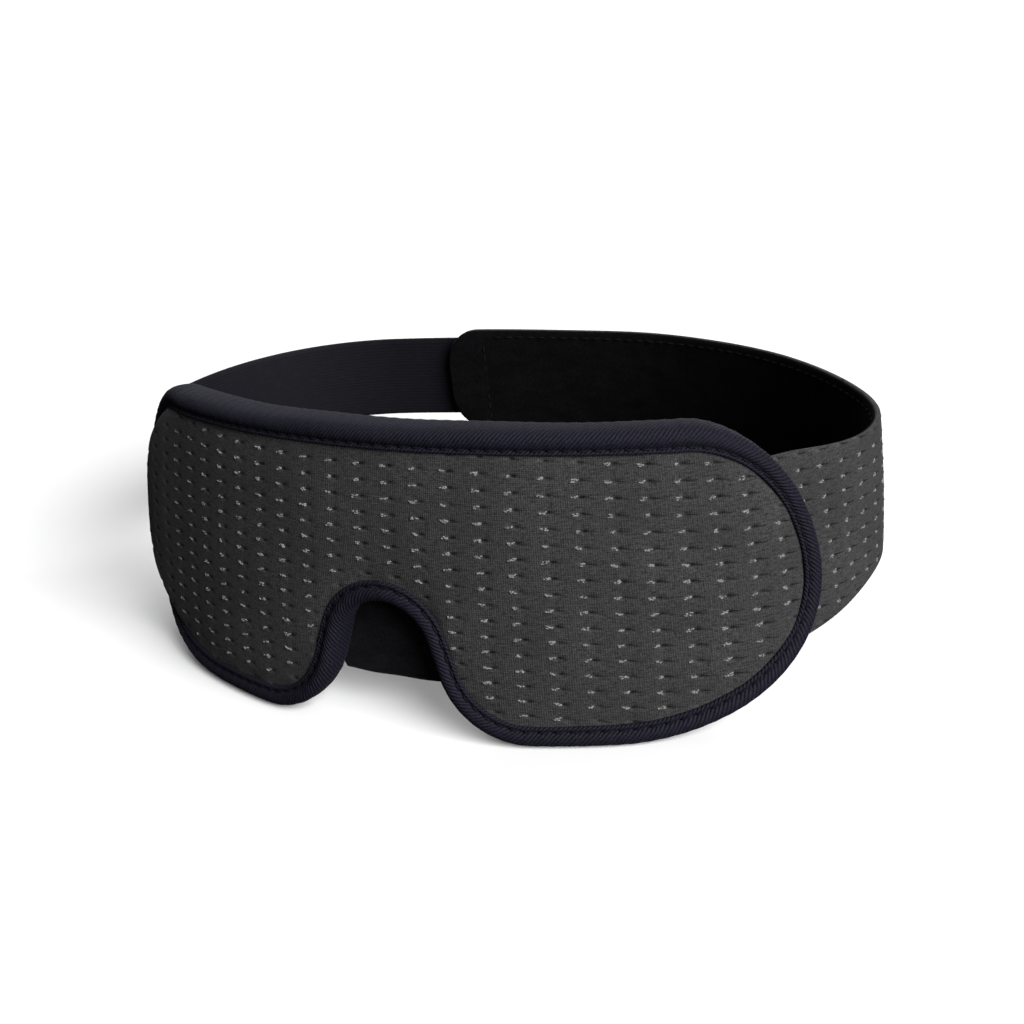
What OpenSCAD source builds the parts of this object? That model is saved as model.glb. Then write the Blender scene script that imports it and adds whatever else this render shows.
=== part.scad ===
// Contoured sleep eye mask: padded wrap-round panel, wide loop-lined strap on the right,
// narrow elastic strap on the left, closed at the back by a hook patch.
// Millimetres. Z is up, -Y is the front, +X is the right-hand side seen from the front.
// The origin is under the middle of the closed mask, at the height of the lowest edge.
// Most shapes are laid out on the loop: s is the distance along the loop from the nose,
// v is the height and d is the depth from the panel's outer face towards the head.

/* [Panel] */
// Half length of the panel along its curve, from the nose to one end
panel_half = 124.5; // [116:0.5:128]
// Height of the panel over a lobe
panel_h = 84.5; // [78:0.5:90]
// Extra height of the top edge over the nose
brow_rise = 3; // [0:0.5:4]
// Distance from the nose at which the top edge starts to round down
brow_end = 86; // [76:1:92]
// Distance from the nose at which the lobe's bottom starts to round up
lobe_end = 64; // [54:1:72]
// Backward lean of the panel's top, in degrees
lean = 8.5; // [0:0.5:10]
// Thickness of the outer knit fabric
face_t = 1.2; // [0.8:0.1:2]
// Thickness of the foam core
foam_t = 6; // [4:0.5:8]
// Thickness of the inner lining
lining_t = 0.8; // [0.5:0.1:1.5]

/* [Nose notch] */
// Height of the notch's crown above the lobes' bottoms
notch_h = 38.5; // [34:0.5:42]
// Radius of the notch's crown
notch_r = 14; // [10:0.5:15]
// Outward slope of the notch's sides, in degrees from vertical
notch_slope = 17; // [8:1:22]
// Radius of the corner between the notch's side and the lobe's bottom
lobe_r = 26.5; // [20:0.5:30]

/* [Edge binding] */
// Width of the binding over the panel's face
binding_w = 6.2; // [5:0.1:8]
// How far the panel's layers stop short of the binding's outer edge
binding_wrap = 1.5; // [1:0.1:2]
// Thickness of the binding's flanges
binding_t = 1.2; // [0.8:0.1:1.6]
// Spacing of the binding's stitches
stitch_pitch = 4.2; // [3:0.1:6]

/* [Loop] */
// Distance from the nose to the middle of the back
loop_depth = 169.8; // [160:0.1:175]
// Radius of the loop across the front
front_r = 162; // [140:1:175]
// Distance from the nose at which the front curve ends on the right
right_front_end = 92; // [86:1:100]
// Radius of the loop at the right side
right_side_r = 64.5; // [58:0.5:68]
// Distance from the nose at which the front curve ends on the left
left_front_end = 130; // [120:1:134]
// Radius of the loop at the left side
left_side_r = 66; // [58:0.5:68]

/* [Straps] */
// Height of the straps' centre line
strap_v = 42; // [39:0.5:46]
// Width of the narrow elastic strap
elastic_w = 29; // [24:1:30]
// Thickness of the narrow elastic strap
elastic_t = 1.6; // [1:0.1:2]
// Width of the wide strap where it leaves the panel
wide_root_w = 52.5; // [46:0.5:56]
// Width of the wide strap at the side of the head
wide_side_w = 43.5; // [38:0.5:46]
// Width of the wide strap at its free end
wide_end_w = 37.5; // [33:0.5:38]
// How far the wide strap's free end reaches past the middle of the back
wide_reach = 64; // [40:1:70]
// Length of the closure, where the elastic strap lies over the wide strap
closure_l = 74; // [66:1:80]

/* [Eye pads] */
// Distance of each pad's centre from the nose, along the panel
pad_s = 54; // [52:1:56]
// Height of each pad's centre
pad_v = 43; // [41:1:45]
// Half length of a pad
pad_a = 33; // [30:1:34]
// Half height of a pad
pad_b = 28; // [25:1:29]
// Width of a pad's padded ring
pad_ring = 10; // [8:1:12]
// Thickness of a pad
pad_t = 10; // [6:1:12]

/* [Hidden] */

KNIT = [0.2, 0.2, 0.21];
TWILL = [0.1, 0.1, 0.14];
BLACK = [0.05, 0.05, 0.06];
FOAM = [0.35, 0.35, 0.36];
THREAD = [0.14, 0.14, 0.18];

mid_v = panel_h/2;
stack_t = face_t + foam_t + lining_t;
back_d = stack_t + binding_t;
clear = 0.4;
// Hairline left between layers that are glued or sewn together on a curve
glue = 0.1;

// ---- Loop in plan: on each side a front arc, a tighter side arc and a back arc ----
// Both sides share the front arc's centre and meet at the back.
function side_plan(front_end, side_r) =
    let (
        front_a = front_end/front_r*180/PI,
        side_c = [(front_r - side_r)*sin(front_a), front_r - (front_r - side_r)*cos(front_a)],
        rest = loop_depth - side_c[1] - side_r,
        reach = (side_c[0]*side_c[0] + rest*rest)/(2*rest),
        side_a = 180 - asin(side_c[0]/reach),
        side_end = front_end + (side_a - front_a)*PI/180*side_r,
        back_r = reach + side_r
    )
    [
        front_end, side_r, side_c, side_end, back_r, [0, side_c[1] + reach*cos(side_a)],
        front_a, side_a, side_end + (180 - side_a)*PI/180*back_r
    ];
right_plan = side_plan(right_front_end, right_side_r);
left_plan = side_plan(left_front_end, left_side_r);
half_loop = right_plan[8];
whole_loop = half_loop + left_plan[8];

// Point and heading on an arc
function on_arc(c, r, a) = [c[0] + r*sin(a), c[1] - r*cos(a), a];
// Point and heading at a distance from the nose along one side
function on_side(plan, s) =
    s < plan[0] ? on_arc([0, front_r], front_r, s/front_r*180/PI) :
    s < plan[3] ? on_arc(plan[2], plan[1], plan[6] + (s - plan[0])/plan[1]*180/PI) :
    on_arc(plan[5], plan[4], plan[7] + (s - plan[3])/plan[4]*180/PI);
function mirrored(q) = [-q[0], q[1], -q[2]];
function on_loop(s) =
    s < 0 ? mirrored(on_side(left_plan, -s)) :
    s > half_loop ? mirrored(on_side(left_plan, whole_loop - s)) :
    on_side(right_plan, s);

function ease(x) = x <= 0 ? 0 : x >= 1 ? 1 : x*x*(3 - 2*x);
// Distance from the nose by the shorter way round
function from_nose(s) = s > half_loop ? whole_loop - s : abs(s);
// The panel leans and the straps stand upright: the lean dies out past the panel's ends
function lean_at(s) = tan(lean)*(1 - ease((from_nose(s) - panel_half - 2)/50));
// Middle of the whole mask in plan
loop_mid = [-11.7, 83.6];
function place(s, v, d) =
    let (q = on_loop(s), depth = d + lean_at(s)*(v - mid_v))
    [q[0] - depth*sin(q[2]) - loop_mid[0], q[1] + depth*cos(q[2]) - loop_mid[1], v];

// ---- Flat outline of the panel, inset by e from the binding's outer edge ----
crown_v = notch_h - notch_r;
side_top = [notch_r*cos(notch_slope), crown_v + notch_r*sin(notch_slope)];
side_drop = (side_top[1] + sin(notch_slope)*lobe_r - lobe_r)/cos(notch_slope);
lobe_c = [
    side_top[0] + side_drop*sin(notch_slope) + lobe_r*cos(notch_slope),
    lobe_r
];
crown_steps = 7;
lobe_steps = 9;
end_steps = 14;
end_sweep = 86;
function crown(e) = [
    for (i = [0:crown_steps])
    let (a = 90 - (90 - notch_slope)*i/crown_steps)
    [(notch_r + e)*cos(a), crown_v + (notch_r + e)*sin(a)]
];
function lobe(e) = [
    for (i = [0:lobe_steps])
    let (a = 180 + notch_slope + (90 - notch_slope)*i/lobe_steps)
    [lobe_c[0] + (lobe_r - e)*cos(a), lobe_c[1] + (lobe_r - e)*sin(a)]
];
function panel_end(e) = [
    for (i = [0:end_steps])
    let (a = end_sweep*i/end_steps)
    [lobe_end + (panel_half - lobe_end - e)*sin(a), mid_v - (mid_v - e)*cos(a)]
];
function lower_edge(e) = concat(crown(e), lobe(e), [[(lobe_c[0] + lobe_end)/2, e]], panel_end(e));
function upper_v(u, e) =
    u < brow_end ? panel_h - e + brow_rise*(1 - pow(u/brow_end, 2)) :
    mid_v + (panel_h - mid_v - e)
        * sqrt(max(0, 1 - pow((u - brow_end)/(panel_half - brow_end - e), 2)));
// Columns [s, lowest v, highest v] over the right-hand half, and over the whole panel
function half_columns(e) = [for (p = lower_edge(e)) [p[0], p[1], upper_v(p[0], e)]];
function columns(e) =
    let (h = half_columns(e), n = len(h))
    concat([for (i = [n - 1:-1:1]) [-h[i][0], h[i][1], h[i][2]]], h);
// The same outline as one closed path
function outline(e) =
    let (c = columns(e), n = len(c))
    concat([for (p = c) [p[0], p[1]]], [for (i = [n - 1:-1:0]) [c[i][0], c[i][2]]]);

// ---- Solids from rings of points ----
// Triangles between ring i and ring j, each of m points. The first few sides are cut along
// their other diagonal, so that a layer's front fits the back of the layer before it.
function wall(i, j, m, turned) = [
    for (k = [0:m - 1]) let (n = (k + 1)%m)
    each k < turned ?
        [[i*m + k, j*m + k, i*m + n], [j*m + k, j*m + n, i*m + n]] :
        [[i*m + k, j*m + k, j*m + n], [i*m + k, j*m + n, i*m + n]]
];
module tube_ring(rings, turned = 0) {
    m = len(rings[0]);
    n = len(rings);
    polyhedron(
        [for (r = rings) each r],
        [for (i = [0:n - 1]) each wall(i, (i + 1)%n, m, turned)]
    );
}
module skin(rings, turned = 1) {
    m = len(rings[0]);
    n = len(rings);
    first = [for (k = [0:m - 1]) k];
    last = [for (k = [m - 1:-1:0]) (n - 1)*m + k];
    polyhedron(
        [for (r = rings) each r],
        concat([first], [for (i = [0:n - 2]) each wall(i, i + 1, m, turned)], [last])
    );
}
// A layer over the given columns, between depths d0 and d1
module layer(cols, d0, d1) {
    skin([
        for (c = cols) [
            place(c[0], c[1], d0), place(c[0], c[2], d0),
            place(c[0], c[2], d1), place(c[0], c[1], d1)
        ]
    ]);
}
// A plain strip of the loop from s0 to s1, between heights v0 and v1
module strip(s0, s1, v0, v1, d0, d1) {
    n = max(1, ceil((s1 - s0)/5));
    layer([for (i = [0:n]) [s0 + (s1 - s0)*i/n, v0, v1]], d0, d1);
}
// A short thread between two points
module thread(p, q, r) {
    t = q - p;
    translate(p)
        rotate([0, acos(t[2]/norm(t)), atan2(t[1], t[0])])
            cylinder(h = norm(t), r = r, $fn = 16);
}

// ---- Panel ----
module face_fabric() {
    color(KNIT) layer(columns(binding_wrap), 0, face_t);
}
module foam_core() {
    color(FOAM) layer(columns(binding_wrap), face_t, face_t + foam_t);
}
module inner_lining() {
    color(BLACK) layer(columns(binding_wrap), face_t + foam_t, stack_t);
}

// Half section of the binding as [inset, depth]: front flange, rolled edge, back flange
binding_section = [
    [binding_w, -glue], [binding_wrap - glue, -glue],
    [binding_wrap - glue, stack_t + glue], [binding_w, stack_t + glue],
    [binding_w, back_d], [2, back_d], [0.7, back_d - 0.8], [0, back_d - 2.6],
    [0, 1.2], [0.7, -0.8], [2, -1.7], [4, -1.7], [5, -binding_t], [binding_w, -binding_t]
];
module edge_binding() {
    paths = [for (q = binding_section) outline(q[0])];
    color(TWILL) tube_ring([
        for (i = [0:len(paths[0]) - 1]) [
            for (k = [0:len(paths) - 1])
            place(paths[k][i][0], paths[k][i][1], binding_section[k][1])
        ]
    ]);
}
groove_e = 5;
module binding_stitching() {
    path = outline(groove_e);
    n = len(path);
    color(THREAD)
        for (i = [0:n - 1]) {
            p = path[i];
            q = path[(i + 1)%n];
            count = max(1, round(norm(q - p)/stitch_pitch));
            for (j = [0:count - 1]) {
                a = p + (q - p)*(j + 0.15)/count;
                b = p + (q - p)*(j + 0.8)/count;
                thread(
                    place(a[0], a[1], -binding_t), place(b[0], b[1], -binding_t), 0.35
                );
            }
        }
}

// ---- Eye pads: padded rings that leave a hollow over each eye ----
pad_section = [
    [0, 0], [0.6, 0.62], [3, 0.95], [pad_ring - 3, 0.95], [pad_ring - 0.6, 0.62], [pad_ring, 0]
];
cover_t = 0.8;
cover_section = [
    [-cover_t, 0], [0.6 - cover_t, 0.7], [2.6, 0.95 + cover_t/pad_t],
    [pad_ring - 2.6, 0.95 + cover_t/pad_t], [pad_ring - 0.6 + cover_t, 0.7],
    [pad_ring + cover_t, 0]
];
pad_steps = 40;
function pad_point(side, a, q) = place(
    side*pad_s + (pad_a - q[0])*cos(a), pad_v + (pad_b - q[0])*sin(a),
    stack_t + glue + q[1]*pad_t
);
module pad_ring_solid(side, section, turned = 0) {
    tube_ring([
        for (i = [0:pad_steps - 1])
        [for (q = section) pad_point(side, 360*i/pad_steps, q)]
    ], turned);
}
function reversed(list) = [for (i = [len(list) - 1:-1:0]) list[i]];
module eye_pad(side) {
    color(FOAM) pad_ring_solid(side, reversed(pad_section));
}
module eye_pad_cover(side) {
    color(BLACK)
        pad_ring_solid(side, concat(pad_section, reversed(cover_section)), len(pad_section) - 1);
}
module left_eye_pad() eye_pad(-1);
module right_eye_pad() eye_pad(1);
module left_eye_pad_cover() eye_pad_cover(-1);
module right_eye_pad_cover() eye_pad_cover(1);

// ---- Nose flap: shuts out the light behind the notch, hung from a seam above it ----
flap_d = back_d + clear;
flap_t = 1.6;
flap_hinge_v = 53;
flap_low_v = 12;
flap_top_half = 13;
flap_low_half = 21;
flap_corner_v = 18;
function flap_high(u) =
    abs(u) <= flap_top_half ? flap_hinge_v - 0.3 :
    flap_hinge_v - 0.3
        - (abs(u) - flap_top_half)/(flap_low_half - flap_top_half)
        * (flap_hinge_v - 0.3 - flap_corner_v);
module nose_flap() {
    us = [-flap_low_half, -17, -flap_top_half, -6.5, 0, 6.5, flap_top_half, 17, flap_low_half];
    color(BLACK) layer([for (u = us) [u, flap_low_v, flap_high(u)]], flap_d, flap_d + flap_t);
}
seam_low_v = flap_hinge_v + 1.3;
seam_high_v = flap_hinge_v + 6;
module nose_flap_seam() {
    color(BLACK)
        strip(
            -flap_top_half, flap_top_half, seam_low_v, seam_high_v,
            stack_t + glue, flap_d + flap_t
        );
}
module nose_flap_stitching() {
    color(THREAD)
        for (v = [seam_low_v + 1.2, seam_high_v - 1.2])
            for (u = [-11:3.1:11])
                thread(place(u, v, flap_d + flap_t), place(u + 2, v, flap_d + flap_t), 0.35);
}

// ---- Strap anchors: the straps' ends, sewn on behind the panel's ends ----
anchor_s = 98;
hinge_s = panel_half + 1.6;
anchor_end = hinge_s - 0.6;
strap_start = hinge_s + 0.2;
anchor_d = back_d + glue;
wide_t = 2.4;
// Depth of the outer face of each strap, from its root to its free run
elastic_free_d = -2.2;
wide_free_d = 1;
function depth_of(s, free_d) =
    anchor_d + (free_d - anchor_d)*ease((from_nose(s) - hinge_s)/60);

module left_strap_anchor() {
    color(BLACK) strip(
        -anchor_end, -anchor_s, strap_v - elastic_w/2, strap_v + elastic_w/2,
        anchor_d, anchor_d + elastic_t
    );
}
module right_strap_anchor() {
    color(KNIT) strip(
        anchor_s, anchor_end, strap_v - wide_root_w/2, strap_v + wide_root_w/2,
        anchor_d, anchor_d + wide_t
    );
}
// Two upright rows of stitches with a crossed box between them
module anchor_stitches(side, half_v, d) {
    rows = round(2*half_v/3.4);
    for (s = [anchor_s + 2, anchor_s + 10], i = [0:rows - 1]) {
        v = strap_v - half_v + (i + 0.15)*2*half_v/rows;
        thread(place(side*s, v, d), place(side*s, v + 2.2, d), 0.35);
    }
    for (i = [0:3], v = [strap_v - half_v, strap_v + half_v])
        thread(
            place(side*(anchor_s + 2 + 2*i), v, d),
            place(side*(anchor_s + 3.4 + 2*i), v, d), 0.35
        );
}
module left_anchor_stitching() {
    color(THREAD) anchor_stitches(-1, elastic_w/2 - 2.5, anchor_d + elastic_t);
}
module right_anchor_stitching() {
    color(THREAD) anchor_stitches(1, wide_root_w/2 - 3, anchor_d + wide_t);
}

// ---- Wide strap: knit outside, thin foam, loop fabric inside ----
wide_end = half_loop + wide_reach;
wide_corner = 12;
function wide_half(s) =
    let (
        root_taper = 1 - ease((s - hinge_s + 12)/55),
        end_taper = ease((s - hinge_s)/(wide_end - hinge_s)),
        w = wide_side_w + (wide_root_w - wide_side_w)*root_taper
            - (wide_side_w - wide_end_w)*end_taper,
        over = max(0, s - (wide_end - wide_corner))
    )
    w/2 - wide_corner + sqrt(max(0, wide_corner*wide_corner - over*over));
wide_run = concat(
    [for (i = [0:44]) strap_start + (wide_end - wide_corner - strap_start)*i/44],
    [for (a = [15:15:90]) wide_end - wide_corner + wide_corner*sin(a)]
);
wide_face_t = 0.9;
wide_foam_t = 0.9;
module wide_layer(t0, t1) {
    skin([
        for (s = wide_run)
        let (h = wide_half(s), d = depth_of(s, wide_free_d))
        [
            place(s, strap_v - h, d + t0), place(s, strap_v + h, d + t0),
            place(s, strap_v + h, d + t1), place(s, strap_v - h, d + t1)
        ]
    ]);
}
module right_strap_face() {
    color(KNIT) wide_layer(0, wide_face_t);
}
module right_strap_foam() {
    color(FOAM) wide_layer(wide_face_t, wide_face_t + wide_foam_t);
}
module right_strap_loop_lining() {
    color(BLACK) wide_layer(wide_face_t + wide_foam_t, wide_t);
}
// One row of stitches inside each long edge and one across the hem near the free end
hem_s = wide_end - 14;
module right_strap_stitching() {
    edge_in = 2.5;
    pitch = 5;
    d_in = wide_t;
    color(THREAD) {
        for (side = [-1, 1], s = [strap_start + 4:pitch:hem_s - pitch])
            thread(
                place(s, strap_v + side*(wide_half(s) - edge_in), depth_of(s, wide_free_d) + d_in),
                place(
                    s + 3, strap_v + side*(wide_half(s + 3) - edge_in),
                    depth_of(s + 3, wide_free_d) + d_in
                ),
                0.3
            );
        for (v = [-13:4:11])
            thread(
                place(hem_s, strap_v + v, wide_free_d + d_in),
                place(hem_s, strap_v + v + 2.6, wide_free_d + d_in), 0.3
            );
    }
}

// ---- Elastic strap: from the panel's left end to the closure at the back ----
tab_end = wide_end - closure_l;
tab_l = 20;
tab_hinge = tab_end + tab_l;
elastic_stop = tab_hinge + 0.2;
elastic_start = whole_loop - strap_start;
module elastic_strap() {
    n = 40;
    color(BLACK) skin([
        for (i = [0:n])
        let (
            s = elastic_stop + (elastic_start - elastic_stop)*i/n,
            d = depth_of(s, elastic_free_d),
            h = elastic_w/2
        )
        [
            place(s, strap_v - h, d), place(s, strap_v + h, d),
            place(s, strap_v + h, d + elastic_t), place(s, strap_v - h, d + elastic_t)
        ]
    ]);
}
// Hook patch on the inner face of the elastic strap, facing the wide strap's knit
hook_t = wide_free_d - elastic_free_d - elastic_t - clear;
hook_s0 = tab_hinge + 3;
hook_s1 = wide_end - 4;
hook_half = elastic_w/2 - 1.5;
module hook_patch() {
    d = elastic_free_d + elastic_t;
    color(BLACK)
        strip(hook_s0, hook_s1, strap_v - hook_half, strap_v + hook_half, d + glue, d + hook_t);
}
// Stitches round the hook patch, seen on the elastic strap's outer face
module hook_patch_stitching() {
    pitch = 4;
    inset = 1.5;
    d = elastic_free_d;
    color(THREAD) {
        for (side = [-1, 1], s = [hook_s0 + inset:pitch:hook_s1 - pitch])
            thread(
                place(s, strap_v + side*(hook_half - inset), d),
                place(s + 2.4, strap_v + side*(hook_half - inset), d), 0.3
            );
        for (s = [hook_s0 + inset, hook_s1 - inset], v = [-hook_half + 2:pitch:hook_half - pitch])
            thread(place(s, strap_v + v, d), place(s, strap_v + v + 2.4, d), 0.3);
    }
}
// Pull tab: the elastic strap's rounded free end, with no hooks on it
module pull_tab() {
    h = elastic_w/2;
    steps = [for (a = [8:9:89]) tab_end + h - h*cos(a)];
    run = concat(steps, [tab_end + h, (tab_end + h + tab_hinge)/2, tab_hinge - 0.2]);
    color(BLACK) skin([
        for (s = run)
        let (
            over = max(0, tab_end + h - s),
            w = sqrt(h*h - over*over),
            d = elastic_free_d
        )
        [
            place(s, strap_v - w, d), place(s, strap_v + w, d),
            place(s, strap_v + w, d + elastic_t), place(s, strap_v - w, d + elastic_t)
        ]
    ]);
}

face_fabric();
foam_core();
inner_lining();
edge_binding();
binding_stitching();
left_eye_pad();
right_eye_pad();
left_eye_pad_cover();
right_eye_pad_cover();
nose_flap();
nose_flap_seam();
nose_flap_stitching();
left_strap_anchor();
right_strap_anchor();
left_anchor_stitching();
right_anchor_stitching();
right_strap_face();
right_strap_foam();
right_strap_loop_lining();
right_strap_stitching();
elastic_strap();
hook_patch();
hook_patch_stitching();
pull_tab();
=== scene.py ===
"""Looks of the sleep eye mask: padded wrap-round panel, bound edge, eye pads, nose flap, wide strap
with loop lining, narrow elastic strap with hook patch and pull tab.

Lengths are in millimetres until a mesh is made. Shapes are laid out as in the CAD part: s is the
distance along the loop from the nose, v the height, d the depth from the panel's outer face
towards the head.
"""
import math

import bmesh
import bpy
import numpy as np
from mathutils import Matrix, Vector


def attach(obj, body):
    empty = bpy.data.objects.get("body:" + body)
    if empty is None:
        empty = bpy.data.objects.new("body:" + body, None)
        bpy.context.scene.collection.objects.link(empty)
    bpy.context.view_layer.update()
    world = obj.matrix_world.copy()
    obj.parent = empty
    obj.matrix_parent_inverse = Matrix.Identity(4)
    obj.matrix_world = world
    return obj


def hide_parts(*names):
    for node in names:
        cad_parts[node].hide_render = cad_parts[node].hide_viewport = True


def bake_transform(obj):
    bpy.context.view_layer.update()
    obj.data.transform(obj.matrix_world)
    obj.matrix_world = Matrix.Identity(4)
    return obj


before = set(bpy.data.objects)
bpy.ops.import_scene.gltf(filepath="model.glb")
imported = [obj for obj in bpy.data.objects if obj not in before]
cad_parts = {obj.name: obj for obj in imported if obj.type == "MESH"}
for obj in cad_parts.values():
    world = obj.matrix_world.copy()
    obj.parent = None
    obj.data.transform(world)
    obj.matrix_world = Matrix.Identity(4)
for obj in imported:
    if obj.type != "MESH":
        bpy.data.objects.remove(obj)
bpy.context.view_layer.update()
MM = 0.001
rng = np.random.default_rng(7)

# ---- Driving dimensions, in millimetres and degrees, the same as the CAD part's ----
PANEL_HALF, PANEL_H, BROW_RISE, BROW_END, LOBE_END, LEAN = 124.5, 84.5, 3.0, 86.0, 64.0, 8.5
NOTCH_H, NOTCH_R, NOTCH_SLOPE, LOBE_R = 38.5, 14.0, 17.0, 26.5
FACE_T, FOAM_T, LINING_T, BINDING_T, BINDING_W = 1.2, 6.0, 0.8, 1.2, 6.2
LOOP_DEPTH, FRONT_R = 169.8, 162.0
RIGHT_SIDE, LEFT_SIDE = (92.0, 64.5), (130.0, 66.0)  # end of the front arc and radius of the side
LOOP_MID = (-11.7, 83.6)
STRAP_V, ELASTIC_W, ELASTIC_T = 42.0, 29.0, 1.6
WIDE_ROOT_W, WIDE_SIDE_W, WIDE_END_W, WIDE_REACH, CLOSURE_L = 52.5, 43.5, 37.5, 64.0, 74.0
WIDE_T, WIDE_CORNER, TAB_L = 2.4, 12.0, 20.0
PAD_S, PAD_V, PAD_A, PAD_B = 54.0, 43.0, 33.0, 28.0
ELASTIC_FREE_D, WIDE_FREE_D, ANCHOR_S = -2.2, 1.0, 98.0
FLAP_HINGE_V, FLAP_LOW_V = 53.0, 12.0
TUFT_PITCH_S, TUFT_PITCH_V = 9.0, 4.4
SKEW, SKEW_END = 0.1, 50.0

MID_V = PANEL_H/2
STACK_T = FACE_T + FOAM_T + LINING_T
BACK_D = STACK_T + BINDING_T
HINGE_S = PANEL_HALF + 1.6
ANCHOR_D = BACK_D + 0.1


def sind(a):
    return np.sin(np.radians(a))


def cosd(a):
    return np.cos(np.radians(a))


def ease(x):
    x = np.clip(x, 0, 1)
    return x*x*(3 - 2*x)


def bell(x):
    return np.exp(-x*x)


# ---- The loop in plan ----
def side_plan(front_end, side_r):
    """Arcs of one side: front end, side radius, centre and end, back radius and centre, angles, length."""
    front_a = front_end/FRONT_R
    centre = ((FRONT_R - side_r)*np.sin(front_a), FRONT_R - (FRONT_R - side_r)*np.cos(front_a))
    rest = LOOP_DEPTH - centre[1] - side_r
    reach = (centre[0]**2 + rest**2)/(2*rest)
    side_a = np.pi - np.arcsin(centre[0]/reach)
    side_end = front_end + (side_a - front_a)*side_r
    back_r = reach + side_r
    length = side_end + (np.pi - side_a)*back_r
    back_y = centre[1] + reach*np.cos(side_a)
    return front_end, side_r, centre, side_end, back_r, back_y, front_a, side_a, length


RIGHT, LEFT = side_plan(*RIGHT_SIDE), side_plan(*LEFT_SIDE)
HALF_LOOP = RIGHT[8]
WHOLE_LOOP = HALF_LOOP + LEFT[8]
WIDE_END = HALF_LOOP + WIDE_REACH
TAB_END = WIDE_END - CLOSURE_L
TAB_HINGE = TAB_END + TAB_L


def on_side(plan, s):
    front_end, side_r, centre, side_end, back_r, back_y, front_a, side_a, _ = plan
    front, side = s < front_end, s < side_end
    r = np.where(front, FRONT_R, np.where(side, side_r, back_r))
    a_side, a_back = front_a + (s - front_end)/side_r, side_a + (s - side_end)/back_r
    a = np.where(front, s/FRONT_R, np.where(side, a_side, a_back))
    cx = np.where(front, 0, np.where(side, centre[0], 0))
    cy = np.where(front, FRONT_R, np.where(side, centre[1], back_y))
    return cx + r*np.sin(a), cy - r*np.cos(a), a


def from_nose(s):
    s = np.asarray(s, float)
    return np.where(s > HALF_LOOP, WHOLE_LOOP - s, np.abs(s))


def place(s, v, d):
    """Points in the row frame, in metres, for arrays of s, v and d."""
    s, v, d = np.broadcast_arrays(np.asarray(s, float), np.asarray(v, float), np.asarray(d, float))
    w = from_nose(s)
    left = (s < 0) | (s > HALF_LOOP)
    xr, yr, ar = on_side(RIGHT, w)
    xl, yl, al = on_side(LEFT, w)
    x, y, a = np.where(left, -xl, xr), np.where(left, yl, yr), np.where(left, -al, ar)
    lean = math.tan(math.radians(LEAN))*(1 - ease((w - PANEL_HALF - 2)/50))
    depth = d + lean*(v - MID_V)
    return np.stack([x - depth*np.sin(a) - LOOP_MID[0], y + depth*np.cos(a) - LOOP_MID[1], v], -1)*MM


def strap_depth(s, free_d):
    """Depth of a strap's outer face, from its sewn root to its free run."""
    return ANCHOR_D + (free_d - ANCHOR_D)*ease((from_nose(s) - HINGE_S)/60)


# ---- The panel's flat outline ----
def outline(e):
    """Closed path [s, v] of the panel's edge, inset by e; every inset has the same number of points."""
    crown_v = NOTCH_H - NOTCH_R
    top = (NOTCH_R*cosd(NOTCH_SLOPE), crown_v + NOTCH_R*sind(NOTCH_SLOPE))
    drop = (top[1] + sind(NOTCH_SLOPE)*LOBE_R - LOBE_R)/cosd(NOTCH_SLOPE)
    lobe_x = top[0] + drop*sind(NOTCH_SLOPE) + LOBE_R*cosd(NOTCH_SLOPE)
    arcs = []
    a = np.linspace(90, NOTCH_SLOPE, 30)
    arcs.append(np.stack([(NOTCH_R + e)*cosd(a), crown_v + (NOTCH_R + e)*sind(a)], 1))
    a = np.linspace(180 + NOTCH_SLOPE, 270, 50)
    arcs.append(np.stack([lobe_x + (LOBE_R - e)*cosd(a), LOBE_R + (LOBE_R - e)*sind(a)], 1))
    a = np.linspace(0, 90, 90)
    arcs.append(np.stack([
        LOBE_END + (PANEL_HALF - LOBE_END - e)*sind(a), MID_V - (MID_V - e)*cosd(a)], 1))
    a = np.linspace(90, 0, 70)[1:]
    arcs.append(np.stack([
        BROW_END + (PANEL_HALF - BROW_END - e)*sind(a), MID_V + (PANEL_H - MID_V - e)*cosd(a)], 1))
    u = np.linspace(BROW_END, 0, 60)[1:]
    arcs.append(np.stack([u, PANEL_H - e + BROW_RISE*(1 - (u/BROW_END)**2)], 1))
    half = np.concatenate(arcs)
    other = half[-2:0:-1]*[-1, 1]
    return np.concatenate([half, other])


def path_length(path):
    steps = np.linalg.norm(np.roll(path, -1, 0) - path, axis=1)
    return np.concatenate([[0], np.cumsum(steps)])


def even_stations(path, spacing):
    """Evenly spaced places along a closed path: fractional point numbers, lengths, and the whole length."""
    length = path_length(path)
    n = int(round(length[-1]/spacing))
    at = np.linspace(0, length[-1], n, endpoint=False)
    return np.interp(at, length, np.arange(len(length))), at, length[-1]


def along(path, stations):
    closed = np.concatenate([path, path[:1]])
    i = np.arange(len(closed))
    return np.stack([np.interp(stations, i, closed[:, k]) for k in (0, 1)], 1)


def edge_distance(s, v):
    """Distance from points in the flat panel to its outline."""
    edge = along(outline(0), even_stations(outline(0), 1.0)[0])
    out = np.empty(s.size)
    flat = np.stack([s.ravel(), v.ravel()], 1)
    for i in range(0, len(flat), 4000):
        part = flat[i:i + 4000]
        out[i:i + 4000] = np.sqrt(((part[:, None] - edge[None])**2).sum(2).min(1))
    return out.reshape(s.shape)


def span(s, e):
    """Lowest and highest v of the panel, inset by e, at distances s from the nose."""
    half = outline(e)[:298]
    turn = int(np.argmax(half[:, 0]))
    low = np.interp(np.abs(s), half[:turn + 1, 0], half[:turn + 1, 1])
    top = half[turn:][::-1]
    high = np.interp(np.abs(s), top[:, 0], top[:, 1])
    return low, high


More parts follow.
